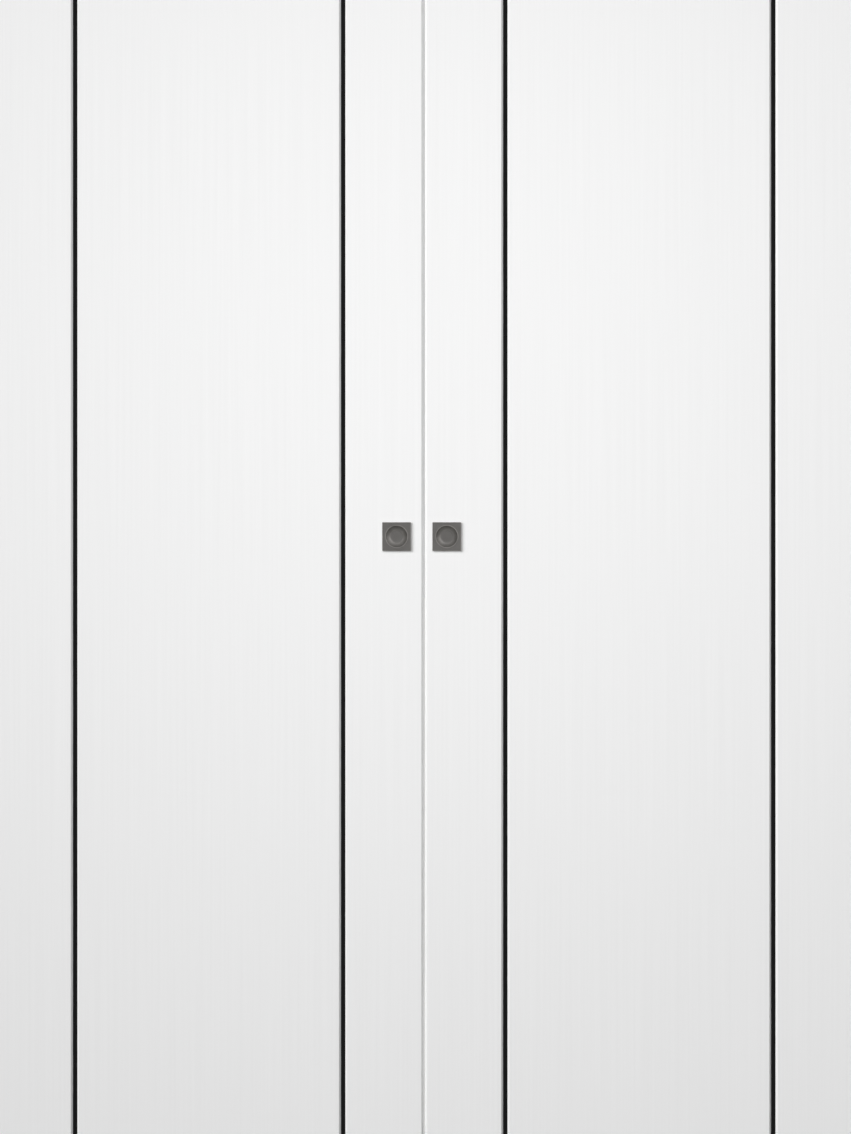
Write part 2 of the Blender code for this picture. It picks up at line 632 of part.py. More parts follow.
def build_leaf(hand, side, backset):
    """One leaf with its two hangers. Distances along the leaf start at its meeting edge."""
    leaf = joint_frame(f"{hand}_leaf", (side * LEAF_EDGE, 0, FLOOR_CLEARANCE))
    stile(f"{hand}_inner_stile", leaf, side, BOARD_INSET, INNER_STILE_WIDTH)
    outer_start = LEAF_WIDTH - BOARD_INSET - OUTER_STILE_WIDTH
    stile(f"{hand}_outer_stile", leaf, side, outer_start, OUTER_STILE_WIDTH)
    hangers = {"inner": HANGER_INSET, "outer": LEAF_WIDTH - HANGER_INSET}
    top_rail(f"{hand}_top_rail", leaf, side, hangers.values())
    bottom_rail(f"{hand}_bottom_rail", leaf, side)
    core(f"{hand}_core", leaf, side)
    edge_band(f"{hand}_inner_edge_band", leaf, side, 0, 1)
    edge_band(f"{hand}_outer_edge_band", leaf, side, LEAF_WIDTH, -1)
    guide_channel(f"{hand}_guide_channel", leaf, side)
    for side_name, face, outward in (("front", -1, AGAINST_Y), ("back", 1, ALONG_Y)):
        board = skin(f"{hand}_{side_name}_skin", leaf, side, face)
        inlay(f"{hand}_{side_name}_inner_inlay", leaf, side, face, GROOVE_INSET)
        inlay(f"{hand}_{side_name}_outer_inlay", leaf, side, face, LEAF_WIDTH - GROOVE_INSET)
        place = (side * backset, face * HALF_LEAF, PULL_HEIGHT)
        pull(f"{hand}_{side_name}_pull", leaf, place, outward, board)
    for where, along in hangers.items():
        name = f"{hand}_{where}"
        hanger = joint_frame(f"{name}_hanger", (side * along, 0, LEAF_HEIGHT), leaf)
        hanger_plate(f"{name}_hanger_plate", hanger)
        hanging_bolt(f"{name}_hanging_bolt", hanger)
        carriage(f"{name}_carriage", hanger)
        wheelset(f"{name}_near_wheelset", hanger, -side * AXLE_SPACING / 2)
        wheelset(f"{name}_far_wheelset", hanger, side * AXLE_SPACING / 2)


def build_track():
    """An aluminium extrusion, slotted below, screwed up through its top web."""
    outer_half = [
        (SLOT_HALF, TRACK_BASE),
        (TRACK_OUTER - TRACK_CHAMFER, TRACK_BASE),
        (TRACK_OUTER, TRACK_BASE + TRACK_CHAMFER),
        (TRACK_OUTER, TRACK_TOP - TRACK_CHAMFER),
        (TRACK_OUTER - TRACK_CHAMFER, TRACK_TOP),
    ]
    inner_half = [
        (TRACK_INNER, TRACK_CEILING),
        (TRACK_INNER, RUNNING_LEVEL),
        (SLOT_HALF, RUNNING_LEVEL),
    ]
    outline = outer_half + [(-y, z) for y, z in outer_half[::-1]]
    outline += [(-y, z) for y, z in inner_half[::-1]] + inner_half
    mesh = prism("top_track", [outline], 2 * TRACK_HALF)
    track = part("top_track", mesh, ALUMINIUM, None, (0, 0, LEAF_TOP), ALONG_X)
    seat = countersunk_hole(TRACK_SCREW_RADIUS, -TRACK_CEILING, TRACK_WEB)
    hole = turned("track_screw_hole", seat, HOLE_SIDES)
    upside_down = (pi, 0, 0)
    for i in range(int(TRACK_HALF // TRACK_SCREW_PITCH)):
        for x in (-(i + 0.5) * TRACK_SCREW_PITCH, (i + 0.5) * TRACK_SCREW_PITCH):
            drill(track, hole, (x, 0, LEAF_TOP), upside_down)


def build_stop(name, middle, length, material):
    """A block that sits on both lips of the track, clamped by a hexagon-socket screw in its tongue."""
    base = LEAF_TOP + RUNNING_LEVEL + SEAT_GAP
    body = block(name, (length, 2 * WHEEL_OUTER, STOP_HEIGHT))
    stop = part(name, body, material, None, (middle, 0, base + STOP_HEIGHT / 2))
    chamfer_edges(stop, STOP_CHAMFER)
    underside = LEAF_TOP + TRACK_BASE
    tongue_height = base + STOP_HEIGHT / 2 - underside
    tongue_size = (length - 2 * STOP_CHAMFER, 2 * (SLOT_HALF - SEAT_GAP), tongue_height)
    tongue_place = (middle, 0, underside + tongue_height / 2)
    tongue = tool(f"{name}_tongue", block(f"{name}_tongue", tongue_size), None, tongue_place)
    combine(stop, tongue, "UNION")
    hexagon = circle((0, 0), STOP_SOCKET_RADIUS, HEX_SIDES)
    socket = prism(f"{name}_socket", [hexagon], 2 * STOP_SOCKET_DEPTH)
    drill(stop, socket, (middle, 0, underside))
    return stop


def build_end_stop(hand, side, inward):
    """The stop at the track's end, with the rubber buffer that the open leaf's carriage meets."""
    middle = side * (STOP_FACE + STOP_LENGTH / 2)
    stop = build_stop(f"{hand}_end_stop", middle, STOP_LENGTH, DIE_CAST_ZINC)
    face = (side * STOP_FACE, 0, LEAF_TOP + AXLE_LEVEL)
    stem_hole = straight_hole(STEM_RADIUS + SEAT_GAP, CUT_MARGIN, -STEM_LENGTH - SEAT_GAP)
    drill(stop, turned(f"{hand}_stem_hole", stem_hole, HOLE_SIDES), face, inward)
    front = SEAT_GAP + BUFFER_LENGTH
    points = [
        (0, front),
        (BUFFER_RADIUS - BUFFER_CHAMFER, front),
        (BUFFER_RADIUS, front - BUFFER_CHAMFER),
        (BUFFER_RADIUS, SEAT_GAP),
        (STEM_RADIUS, SEAT_GAP),
        (STEM_RADIUS, -STEM_LENGTH),
        (0, -STEM_LENGTH),
    ]
    name = f"{hand}_end_buffer"
    part(name, turned(name, points, BOLT_SIDES), BLACK_RUBBER, None, face, inward)


def build_floor_guide(hand, side):
    """A nylon base screwed to the floor, with a fin that keeps the leaf's bottom edge in line."""
    name = f"{hand}_floor_guide"
    place = (side * GUIDE_PLACE, 0, GUIDE_BASE / 2)
    base_outline = chamfered_rectangle(GUIDE_LENGTH, GUIDE_WIDTH, GUIDE_CORNER)
    guide = part(name, prism(name, [base_outline], GUIDE_BASE), WHITE_NYLON, None, place)
    thickness = CHANNEL_WIDTH - 2 * (CHANNEL_WALL + GUIDE_PLAY)
    foot = GUIDE_LENGTH / 2 - GUIDE_CORNER
    crown = foot - FIN_SLOPE
    fin_outline = [
        (-foot, GUIDE_BASE / 2),
        (foot, GUIDE_BASE / 2),
        (foot, FLOOR_CLEARANCE),
        (crown, FLOOR_CLEARANCE + FIN_REACH),
        (-crown, FLOOR_CLEARANCE + FIN_REACH),
        (-foot, FLOOR_CLEARANCE),
    ]
    fin_mesh = prism(f"{name}_fin", [fin_outline], thickness)
    combine(guide, tool(f"{name}_fin", fin_mesh, None, (side * GUIDE_PLACE, 0, 0), AGAINST_Y), "UNION")
    across = (GUIDE_WIDTH + thickness) / 4
    seat = countersunk_hole(GUIDE_SCREW_RADIUS, GUIDE_BASE, GUIDE_BASE)
    hole = turned(f"{name}_screw_hole", seat, HOLE_SIDES)
    for sign in (-1, 1):
        screw = (side * GUIDE_PLACE + sign * GUIDE_SCREW_SPACING / 2, sign * across, 0)
        drill(guide, hole, screw)


build_track()
build_stop("centre_stop", 0, 2 * CENTRE_STOP_HALF, WHITE_NYLON)
for hand, side, backset, inward in (
    ("left", -1, LEFT_BACKSET, ALONG_X),
    ("right", 1, RIGHT_BACKSET, AGAINST_X),
):
    build_leaf(hand, side, backset)
    build_end_stop(hand, side, inward)
    build_floor_guide(hand, side)
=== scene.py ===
"""The look of a double sliding door: two white grooved leaves that part from the middle.

Both hang under one track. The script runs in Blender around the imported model, in metres, with +Z
up and the front facing -Y.
"""

from math import asin, atan2, cos, hypot, pi, radians, sin, tan

import bmesh
import bpy
from mathutils import Matrix, Vector


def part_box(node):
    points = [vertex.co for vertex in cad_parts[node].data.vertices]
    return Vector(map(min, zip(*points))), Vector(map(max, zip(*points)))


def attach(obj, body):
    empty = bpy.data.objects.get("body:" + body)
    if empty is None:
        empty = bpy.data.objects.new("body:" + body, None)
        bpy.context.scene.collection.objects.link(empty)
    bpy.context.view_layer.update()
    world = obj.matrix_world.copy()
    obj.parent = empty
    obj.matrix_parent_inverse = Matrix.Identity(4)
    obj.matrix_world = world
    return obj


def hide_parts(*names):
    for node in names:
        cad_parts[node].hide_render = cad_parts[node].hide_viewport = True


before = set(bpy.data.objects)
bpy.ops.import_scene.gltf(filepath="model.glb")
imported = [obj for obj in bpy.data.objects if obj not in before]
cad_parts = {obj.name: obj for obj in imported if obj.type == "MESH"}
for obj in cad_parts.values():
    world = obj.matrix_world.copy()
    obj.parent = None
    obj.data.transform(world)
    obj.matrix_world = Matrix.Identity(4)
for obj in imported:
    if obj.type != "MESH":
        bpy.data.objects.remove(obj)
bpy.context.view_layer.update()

# Top track
# One length of aluminium, extruded as a box with a slot below, satin anodised, and screwed up
# through its web to the lintel. The leaves hang from carriages that run inside it on the two lips.
MM = 0.001


def linear(hex_colour):
    """An sRGB colour such as #C8CACC as linear red, green, blue and alpha."""
    shares = [int(hex_colour[i : i + 2], 16) / 255 for i in (1, 3, 5)]
    return [s / 12.92 if s <= 0.04045 else ((s + 0.055) / 1.055) ** 2.4 for s in shares] + [1.0]


def new_finish(name):
    """A material with no nodes yet."""
    made = bpy.data.materials.new(name)
    made.use_nodes = True
    made.node_tree.nodes.clear()
    return made


def add(made, kind, inputs, **settings):
    """Adds a node to a finish. An input is a plain value, or the output that feeds it."""
    node = made.node_tree.nodes.new("ShaderNode" + kind)
    for name, value in settings.items():
        setattr(node, name, value)
    for name, value in inputs.items():
        if isinstance(value, bpy.types.NodeSocket):
            made.node_tree.links.new(value, node.inputs[name])
        else:
            node.inputs[name].default_value = value
    return node.outputs


def dress(made, *nodes):
    """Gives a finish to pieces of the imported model."""
    for name in nodes:
        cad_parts[name].material_slots[0].material = made


# Satin anodised aluminium: a pale grey metal with a soft sheen, drawn out along its length by the
# die. The die's lines are about 0.1 mm apart, and are drawn 1.5 mm apart so that they show.
die_line = 1.5 * MM
die_run = 400 * MM
aluminium = new_finish("satin_anodised_aluminium")
place = add(aluminium, "TexCoord", {})["Object"]
stretch = (1 / die_run, 1 / die_line, 1 / die_line)
drawn = add(aluminium, "Mapping", {"Vector": place, "Scale": stretch})["Vector"]
lines = add(aluminium, "TexNoise", {"Vector": drawn, "Scale": 1.0, "Detail": 3.0})["Fac"]
tones = {"Fac": lines, "Color1": linear("#B6B9BC"), "Color2": linear("#CACCCE")}
tone = add(aluminium, "MixRGB", tones)["Color"]
sheen = add(aluminium, "MapRange", {"Value": lines, "To Min": 0.26, "To Max": 0.46})["Result"]
scored = {"Height": lines, "Strength": 0.2, "Distance": 0.05 * MM}
relief = add(aluminium, "Bump", scored)["Normal"]
metal = {"Base Color": tone, "Metallic": 1.0, "Roughness": sheen, "Normal": relief}
add(aluminium, "OutputMaterial", {"Surface": add(aluminium, "BsdfPrincipled", metal)["BSDF"]})
dress(aluminium, "top_track")

# Zinc-plated steel, for the screws: a bright, slightly blue metal with a fine grit and a faint
# cloudy tint from the passivation. The grit is under 0.1 mm, and is drawn 0.8 mm to show.
cloud = 12 * MM
grit = 0.8 * MM
steel = new_finish("zinc_plated_steel")
place = add(steel, "TexCoord", {})["Object"]
clouds = add(steel, "TexNoise", {"Vector": place, "Scale": 1 / cloud, "Detail": 2.0})["Fac"]
grits = add(steel, "TexNoise", {"Vector": place, "Scale": 1 / grit, "Detail": 2.0})["Fac"]
tones = {"Fac": clouds, "Color1": linear("#C4CAD2"), "Color2": linear("#D6D4CC")}
tone = add(steel, "MixRGB", tones)["Color"]
sheen = add(steel, "MapRange", {"Value": grits, "To Min": 0.24, "To Max": 0.44})["Result"]
relief = add(steel, "Bump", {"Height": grits, "Strength": 0.15, "Distance": 0.03 * MM})["Normal"]
metal = {"Base Color": tone, "Metallic": 1.0, "Roughness": sheen, "Normal": relief}
add(steel, "OutputMaterial", {"Surface": add(steel, "BsdfPrincipled", metal)["BSDF"]})

SMOOTH = radians(35)  # an edge that bends more than this stays sharp
AROUND = 48  # points round a small turned piece
screw_head_share = 1.9  # of the hole's radius
screw_neck_share = 0.9
screw_rim = 0.25 * MM
screw_edge = 0.1 * MM
recess_share = 0.55  # of the head's radius
recess_slot_share = 0.13
recess_depth_share = 0.5
recess_foot_share = 0.7  # of the recess at its mouth
screw_in_wall = 0.95  # of a thin wall, so that the screw doesn't come out behind it


def ring(radius, height):
    """Points of a circle round Z."""
    turns = [2 * pi * i / AROUND for i in range(AROUND)]
    return [(radius * cos(turn), radius * sin(turn), height) for turn in turns]


def cross_ring(half_length, half_width, height):
    """Points of a cross-shaped driver recess round Z."""
    points = []
    for i in range(AROUND):
        turn = 2 * pi * i / AROUND
        from_arm = abs((turn + pi / 4) % (pi / 2) - pi / 4)
        reach = half_length
        if from_arm > asin(half_width / half_length):
            reach = half_width / sin(from_arm)
        points.append((reach * cos(turn), reach * sin(turn), height))
    return points


def loft(name, *shells):
    """A mesh of closed shells, each a run of rings with the same number of points.

    A shell is capped at both ends, unless its last ring is its first one again: then it is bored.
    """
    bm = bmesh.new()
    for rings in shells:
        bored = rings[-1] == rings[0]
        own_rings = rings[:-1] if bored else rings
        loops = [[bm.verts.new(point) for point in points] for points in own_rings]
        if bored:
            loops.append(loops[0])
        for first, second in zip(loops, loops[1:]):
            for i in range(len(first)):
                j = (i + 1) % len(first)
                bm.faces.new((first[i], first[j], second[j], second[i]))
        if not bored:
            bm.faces.new(loops[0][::-1])
            bm.faces.new(loops[-1])
    bmesh.ops.recalc_face_normals(bm, faces=bm.faces)
    mesh = bpy.data.meshes.new(name)
    bm.to_mesh(mesh)
    bm.free()
    mesh.shade_smooth()
    mesh.set_sharp_from_angle(angle=SMOOTH)
    return mesh


def fit(mesh, made, body, stands_for=()):
    """Puts a new piece on the body that carries it, in place of the nodes that it stands for."""
    mesh.materials.append(made)
    piece = bpy.data.objects.new(mesh.name, mesh)
    bpy.context.scene.collection.objects.link(piece)
    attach(piece, body)
    if stands_for:
        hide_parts(*stands_for)


def countersunk_screw(name, place, hole_radius, length, body, head_down=False):
    """A cross-recessed screw, its head flush in a 90 degree seat of twice the hole's width."""
    head = screw_head_share * hole_radius
    neck = screw_neck_share * hole_radius
    recess = recess_share * head
    slot = recess_slot_share * head
    foot = recess_foot_share
    rings = [
        ring(neck, -length),
        ring(neck, neck - head - screw_rim),
        ring(head, -screw_rim),
        ring(head, -screw_edge),
        ring(head - screw_edge, 0),
        cross_ring(recess, slot, 0),
        cross_ring(foot * recess, foot * slot, -recess_depth_share * head),
    ]
    mesh = loft(name, rings)
    turn = Matrix.Rotation(pi, 4, "X") if head_down else Matrix.Identity(4)
    mesh.transform(Matrix.Translation(place) @ turn)
    fit(mesh, steel, body)


HANDS = {"left": -1, "right": 1}  # and the side of the middle that each lies on
track_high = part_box("top_track")[1]
track_web = 3 * MM
track_screw_pitch = 360 * MM
track_screw_hole = 2.5 * MM
for i in range(int(track_high.x // track_screw_pitch)):
    for hand, side in HANDS.items():
        seat = Vector((side * (i + 0.5) * track_screw_pitch, 0, track_high.z - track_web))
        countersunk_screw(f"{hand}_track_screw_{i + 1}", seat, track_screw_hole,
                          screw_in_wall * track_web, "track_and_guides", head_down=True)

# Stops and buffers
# Two die-cast blocks are clamped in the ends of the track, each with a rubber buffer pressed into
# its face. A moulded nylon block in the middle stops both leaves when they are closed.
# Die-cast zinc: a dull mid-grey metal, cloudy where the melt flowed, with the mould's fine grain.
# The grain is about 0.2 mm, and is drawn 1.2 mm to show.
grain = 1.2 * MM
flow = 9 * MM
die_cast_zinc = new_finish("die_cast_zinc")
place = add(die_cast_zinc, "TexCoord", {})["Object"]
grains = add(die_cast_zinc, "TexNoise", {"Vector": place, "Scale": 1 / grain, "Detail": 3.0})["Fac"]
flows = add(die_cast_zinc, "TexNoise", {"Vector": place, "Scale": 1 / flow, "Detail": 2.0})["Fac"]
tones = {"Fac": flows, "Color1": linear("#A9ACAF"), "Color2": linear("#BEC0C2")}
tone = add(die_cast_zinc, "MixRGB", tones)["Color"]
sheen = add(die_cast_zinc, "MapRange", {"Value": flows, "To Min": 0.4, "To Max": 0.6})["Result"]
cast = {"Height": grains, "Strength": 0.25, "Distance": 0.06 * MM}
relief = add(die_cast_zinc, "Bump", cast)["Normal"]
metal = {"Base Color": tone, "Metallic": 1.0, "Roughness": sheen, "Normal": relief}
shader = add(die_cast_zinc, "BsdfPrincipled", metal)["BSDF"]
add(die_cast_zinc, "OutputMaterial", {"Surface": shader})
dress(die_cast_zinc, *(f"{hand}_end_stop" for hand in HANDS))

# Moulded nylon: a warm white, slightly waxy, with the fine matt grain of the mould. The grain is
# about 0.1 mm, and is drawn 1 mm to show.
mould_grain = 1.0 * MM
mould_flow = 20 * MM
nylon = new_finish("moulded_white_nylon")
place = add(nylon, "TexCoord", {})["Object"]
grains = add(nylon, "TexNoise", {"Vector": place, "Scale": 1 / mould_grain, "Detail": 2.0})["Fac"]
flows = add(nylon, "TexNoise", {"Vector": place, "Scale": 1 / mould_flow, "Detail": 2.0})["Fac"]
tones = {"Fac": flows, "Color1": linear("#E3E0D7"), "Color2": linear("#ECEAE3")}
tone = add(nylon, "MixRGB", tones)["Color"]
sheen = add(nylon, "MapRange", {"Value": grains, "To Min": 0.38, "To Max": 0.56})["Result"]
relief = add(nylon, "Bump", {"Height": grains, "Strength": 0.2, "Distance": 0.04 * MM})["Normal"]
plastic = {"Base Color": tone, "Roughness": sheen, "IOR": 1.53, "Normal": relief}
add(nylon, "OutputMaterial", {"Surface": add(nylon, "BsdfPrincipled", plastic)["BSDF"]})
dress(nylon, "centre_stop")

# Black rubber: a dull, slightly dusty black.
dust = 1.5 * MM
rubber = new_finish("black_rubber")
place = add(rubber, "TexCoord", {})["Object"]
dusts = add(rubber, "TexNoise", {"Vector": place, "Scale": 1 / dust, "Detail": 4.0})["Fac"]
tones = {"Fac": dusts, "Color1": linear("#161616"), "Color2": linear("#262625")}
tone = add(rubber, "MixRGB", tones)["Color"]
relief = add(rubber, "Bump", {"Height": dusts, "Strength": 0.3, "Distance": 0.05 * MM})["Normal"]
soft = {"Base Color": tone, "Roughness": 0.82, "IOR": 1.52, "Normal": relief}
add(rubber, "OutputMaterial", {"Surface": add(rubber, "BsdfPrincipled", soft)["BSDF"]})

ROUND_STEPS = 6  # from the side of a piece over its rounded edge
buffer_length = 8 * MM
buffer_round = 2 * MM
buffer_edge = 0.4 * MM
stem_radius = 3 * MM


def rounded(radius, height, fillet, inward=1):
    """Rings over a rounded edge, from the side of a turned piece to its flat face at a height."""
    turns = [pi / 2 * step / ROUND_STEPS for step in range(ROUND_STEPS + 1)]
    return [
        ring(radius - fillet * (1 - cos(turn)), height - inward * fillet * (1 - sin(turn)))
        for turn in turns
    ]


for hand, side in HANDS.items():
    low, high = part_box(f"{hand}_end_buffer")
    radius = (high.z - low.z) / 2
    overall = high.x - low.x
    stem = overall - buffer_length
    rings = [
        ring(stem_radius, 0),
        ring(stem_radius, stem),
        ring(radius - buffer_edge, stem),
        ring(radius, stem + buffer_edge),
    ]
    mesh = loft(f"{hand}_rubber_buffer", rings + rounded(radius, overall, buffer_round))
    start = Vector((high.x if side > 0 else low.x, 0, (low.z + high.z) / 2))
    mesh.transform(Matrix.Translation(start) @ Matrix.Rotation(-side * pi / 2, 4, "Y"))
    fit(mesh, rubber, "track_and_guides", [f"{hand}_end_buffer"])

# Leaf frames
# Each leaf has pine rails and stiles round a chipboard core with upright bores. Only the planed
# top and bottom edges of the rails show.
growth_ring = 5 * MM
ring_wander = 0.05  # how fast the rings change along the piece, as a share of across it
fibre = 1.2 * MM
fibre_run = 60 * MM
WAVE_PERIOD = 2 * pi / 20  # of the Wave texture, in its own units


def planed_pine(name, along):
    """Planed pine: straw-coloured early wood between narrow, darker lines of late wood.

    The lines run along the piece, and so do the fibres, which are drawn 1.2 mm wide to show.
    """
    made = new_finish(name)
    across = [ring_wander if axis == along else 1.0 for axis in "XYZ"]
    fibres = [1 / fibre_run if axis == along else 1 / fibre for axis in "XYZ"]
    place = add(made, "TexCoord", {})["Object"]
    sawn = add(made, "Mapping", {"Vector": place, "Scale": across})["Vector"]
    bands = {"Vector": sawn, "Scale": WAVE_PERIOD / growth_ring, "Distortion": 5.0, "Detail": 2.0}
    rings = add(made, "TexWave", bands, bands_direction="Y", wave_profile="SAW")["Fac"]
    brushed = add(made, "Mapping", {"Vector": place, "Scale": fibres})["Vector"]
    fuzz = add(made, "TexNoise", {"Vector": brushed, "Scale": 1.0, "Detail": 3.0})["Fac"]
    tones = {"Fac": rings, "Color1": linear("#EBD2A4"), "Color2": linear("#D2A66C")}
    wood = add(made, "MixRGB", tones)["Color"]
    shade = {"Fac": fuzz, "Color1": wood, "Color2": linear("#DEBB86")}
    tone = add(made, "MixRGB", shade)["Color"]
    relief = add(made, "Bump", {"Height": fuzz, "Strength": 0.3, "Distance": 0.1 * MM})["Normal"]
    wooden = {"Base Color": tone, "Roughness": 0.62, "Normal": relief}
    add(made, "OutputMaterial", {"Surface": add(made, "BsdfPrincipled", wooden)["BSDF"]})
    return made


pine_level = planed_pine("planed_pine_along_rails", "X")
pine_upright = planed_pine("planed_pine_along_stiles", "Z")

# Chipboard: pale wood flakes a few millimetres across, pressed at random.
flake = 4 * MM
chipboard = new_finish("pressed_chipboard")
place = add(chipboard, "TexCoord", {})["Object"]
flakes = add(chipboard, "TexVoronoi", {"Vector": place, "Scale": 1 / flake})
spread = add(chipboard, "SeparateColor", {"Color": flakes["Color"]})["Red"]
tones = {"Fac": spread, "Color1": linear("#A58254"), "Color2": linear("#D9BC8F")}
tone = add(chipboard, "MixRGB", tones)["Color"]
pressed = {"Height": flakes["Distance"], "Strength": 0.4, "Distance": 0.2 * MM}
relief = add(chipboard, "Bump", pressed)["Normal"]
board = {"Base Color": tone, "Roughness": 0.8, "Normal": relief}
add(chipboard, "OutputMaterial", {"Surface": add(chipboard, "BsdfPrincipled", board)["BSDF"]})

FACES = ("front", "back")
ENDS = ("inner", "outer")
for hand in HANDS:
    dress(pine_level, f"{hand}_top_rail", f"{hand}_bottom_rail")
    dress(pine_upright, *(f"{hand}_{end}_stile" for end in ENDS))
    dress(chipboard, f"{hand}_core")

# Skins and edge bands
# Two 6 mm boards are glued over the frame, grooved and chamfered, and the upright edges are
# lipped. All of it is sprayed with white satin lacquer.
# Sprayed lacquer: a clean white with a soft sheen. Faint upright brush and sanding marks of the
# primer show through, and the spray leaves a slight orange peel, drawn 5 mm across to show.
primer_mark = 4 * MM
primer_run = 500 * MM
peel = 5 * MM
drift = 900 * MM
lacquer = new_finish("white_satin_lacquer")
place = add(lacquer, "TexCoord", {})["Object"]
stretch = (1 / primer_mark, 1 / primer_mark, 1 / primer_run)
brushed = add(lacquer, "Mapping", {"Vector": place, "Scale": stretch})["Vector"]
marks = add(lacquer, "TexNoise", {"Vector": brushed, "Scale": 1.0, "Detail": 4.0})["Fac"]
peels = add(lacquer, "TexNoise", {"Vector": place, "Scale": 1 / peel, "Detail": 1.0})["Fac"]
drifts = add(lacquer, "TexNoise", {"Vector": place, "Scale": 1 / drift, "Detail": 1.0})["Fac"]
tones = {"Fac": marks, "Color1": linear("#EEEEEE"), "Color2": linear("#F5F5F5")}
tone = add(lacquer, "MixRGB", tones)["Color"]
sheen = add(lacquer, "MapRange", {"Value": drifts, "To Min": 0.34, "To Max": 0.44})["Result"]
spray = add(lacquer, "Bump", {"Height": peels, "Strength": 0.06, "Distance": 0.05 * MM})["Normal"]
coats = {"Height": marks, "Strength": 0.08, "Distance": 0.05 * MM, "Normal": spray}
relief = add(lacquer, "Bump", coats)["Normal"]
paint = {"Base Color": tone, "Roughness": sheen, "IOR": 1.5, "Normal": relief}
add(lacquer, "OutputMaterial", {"Surface": add(lacquer, "BsdfPrincipled", paint)["BSDF"]})
for hand in HANDS:
    dress(lacquer, *(f"{hand}_{face}_skin" for face in FACES))
    dress(lacquer, *(f"{hand}_{end}_edge_band" for end in ENDS))

# Inlays
# A flat black strip is bonded in each groove, its face at the foot of the groove's chamfers.
# Matt black polymer: very dark and dull, with faint draw lines along it. They are under 0.1 mm
# apart, and are drawn 1 mm apart to show.
draw_line = 1.0 * MM
draw_run = 120 * MM
black_strip = new_finish("matt_black_polymer")
place = add(black_strip, "TexCoord", {})["Object"]
stretch = (1 / draw_line, 1 / draw_line, 1 / draw_run)
drawn = add(black_strip, "Mapping", {"Vector": place, "Scale": stretch})["Vector"]
lines = add(black_strip, "TexNoise", {"Vector": drawn, "Scale": 1.0, "Detail": 3.0})["Fac"]
tones = {"Fac": lines, "Color1": linear("#0A0A0A"), "Color2": linear("#141414")}
tone = add(black_strip, "MixRGB", tones)["Color"]
scored = {"Height": lines, "Strength": 0.2, "Distance": 0.04 * MM}
relief = add(black_strip, "Bump", scored)["Normal"]
dull = {"Base Color": tone, "Roughness": 0.6, "Specular IOR Level": 0.12, "Normal": relief}
add(black_strip, "OutputMaterial", {"Surface": add(black_strip, "BsdfPrincipled", dull)["BSDF"]})
for hand in HANDS:
    dress(black_strip, *(f"{hand}_{face}_{end}_inlay" for face in FACES for end in ENDS))

# Guide channels
# An aluminium channel is let into the bottom edge of each leaf, open downwards, and runs over the
# fin of the floor guide.
dress(aluminium, *(f"{hand}_guide_channel" for hand in HANDS))

# Pulls
# A cast pull on each face of each leaf: a square plate that stands on the lacquer and a round
# finger dish let into the leaf, with a fine bead round the dish.
# Gunmetal plating on die-cast zinc: a dark, warm grey metal, satin from fine blasting. It is paler
# along its edges, round the bead and on the wall of the dish: partly rubbed by hands, partly a
# painted highlight. The blasting is about 0.1 mm fine, and is drawn 0.5 mm to show.
blast = 0.5 * MM
worn = 14 * MM
gunmetal = new_finish("satin_gunmetal_plating")
place = add(gunmetal, "TexCoord", {})["Object"]
blasts = add(gunmetal, "TexNoise", {"Vector": place, "Scale": 1 / blast, "Detail": 2.0})["Fac"]
wears = add(gunmetal, "TexNoise", {"Vector": place, "Scale": 1 / worn, "Detail": 3.0})["Fac"]
tones = {"Fac": wears, "Color1": linear("#7B7977"), "Color2": linear("#888684")}
plated = add(gunmetal, "MixRGB", tones)["Color"]
# edges, bead and dish wall are mixed paler: partly wear, partly a painted highlight
wear_highlight_mask = add(gunmetal, "Attribute", {}, attribute_name="wear_and_highlight")["Fac"]
wear_and_highlight = add(gunmetal, "Math", {0: wear_highlight_mask, 1: wears}, operation="MULTIPLY")["Value"]
wear_highlight = {"Fac": wear_and_highlight, "Color1": plated, "Color2": linear("#B8B5B1")}
tone = add(gunmetal, "MixRGB", wear_highlight)["Color"]
sheen = add(gunmetal, "MapRange", {"Value": blasts, "To Min": 0.34, "To Max": 0.52})["Result"]
pitted = {"Height": blasts, "Strength": 0.4, "Distance": 0.05 * MM}
relief = add(gunmetal, "Bump", pitted)["Normal"]
metal = {"Base Color": tone, "Metallic": 1.0, "Roughness": sheen, "Normal": relief}
add(gunmetal, "OutputMaterial", {"Surface": add(gunmetal, "BsdfPrincipled", metal)["BSDF"]})

pull_plate = 5 * MM
pull_seat = 0.3 * MM  # from the lacquer to the plate's back
pull_round = 0.8 * MM
pull_corner = 1.2 * MM
flat_margin = 0.15 * MM  # between a rounded edge and the plate's flat face
dish_radius = 19 * MM
dish_floor_radius = 9.5 * MM
dish_floor_rings = (0.3, 0.95)  # of that radius, where the floor is flat
dish_fillet = 4 * MM
dish_slope = radians(38)
bead_height = 0.6 * MM
cup_wall = 1.6 * MM
edge_wear_highlight = 1.0  # how pale the plating goes along edges: wear, and partly a painted highlight
wall_wear_highlight = 0.6  # and on the wall of the dish: a painted highlight, and partly wear
SIDE_POINTS = 14  # along a side of the plate
CORNER_POINTS = 6
FILLET_STEPS = 6
BEAD_STEPS = 6


def square_ring(half, corner, height):
    """Points of a square with rounded corners, going round once from the lower right."""
    points = []
    for quarter in range(4):
        turn = quarter * pi / 2
        side = [(half, (half - corner) * (2 * i / SIDE_POINTS - 1)) for i in range(SIDE_POINTS)]
        for i in range(CORNER_POINTS + 1):
            bend = pi / 2 * i / (CORNER_POINTS + 1)
            side.append((half - corner * (1 - cos(bend)), half - corner * (1 - sin(bend))))
        for x, y in side:
            points.append((x * cos(turn) - y * sin(turn), x * sin(turn) + y * cos(turn), height))
    return points


